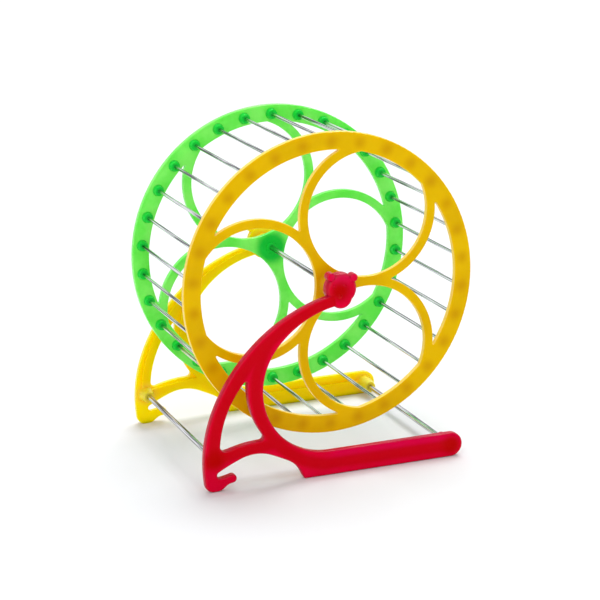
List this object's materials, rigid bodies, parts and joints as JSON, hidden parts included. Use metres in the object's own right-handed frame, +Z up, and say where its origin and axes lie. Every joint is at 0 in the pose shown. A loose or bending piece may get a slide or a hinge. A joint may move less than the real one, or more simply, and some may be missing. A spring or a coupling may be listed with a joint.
{
  "type": "hamster wheel",
  "caption": "Open running wheel for a small pet: two round side rings joined by wire rungs, turning on a fixed axle between two arched plastic legs.",
  "frame": {"origin": "on the floor under the middle of the wheel", "axes": "+Z up, +Y along the axle from the front leg to the rear leg, +X from the hooked feet towards the ends of the base bars"},
  "size_m": [0.1408, 0.1076, 0.1564],
  "materials": {
    "amber_plastic": "translucent moulded plastic, glossy",
    "green_plastic": "translucent moulded plastic, glossy",
    "red_plastic": "translucent moulded plastic, glossy",
    "yellow_plastic": "translucent moulded plastic, glossy",
    "steel": "drawn steel wire"
  },
  "bodies": {
    "stand": {"front_leg": "red_plastic", "rear_leg": "yellow_plastic", "axle": "steel", "foot_rod": "steel", "toe_rod": "steel"},
    "wheel": {"front_ring": "amber_plastic", "rear_ring": "green_plastic", "rung_01": "steel", "rung_02": "steel", "rung_03": "steel", "rung_04": "steel", "rung_05": "steel", "rung_06": "steel", "rung_07": "steel", "rung_08": "steel", "rung_09": "steel", "rung_10": "steel", "rung_11": "steel", "rung_12": "steel", "rung_13": "steel", "rung_14": "steel", "rung_15": "steel", "rung_16": "steel", "rung_17": "steel", "rung_18": "steel", "rung_19": "steel", "rung_20": "steel", "rung_21": "steel", "rung_22": "steel", "rung_23": "steel", "rung_24": "steel", "rung_25": "steel", "rung_26": "steel", "rung_27": "steel", "rung_28": "steel", "rung_29": "steel", "rung_30": "steel"}
  },
  "joints": [
    {"name": "wheel_spin", "type": "hinge", "parent": "stand", "child": "wheel", "pos_m": [0, 0, 0.086], "axis": [0, 1, 0], "continuous": true}
  ]
}
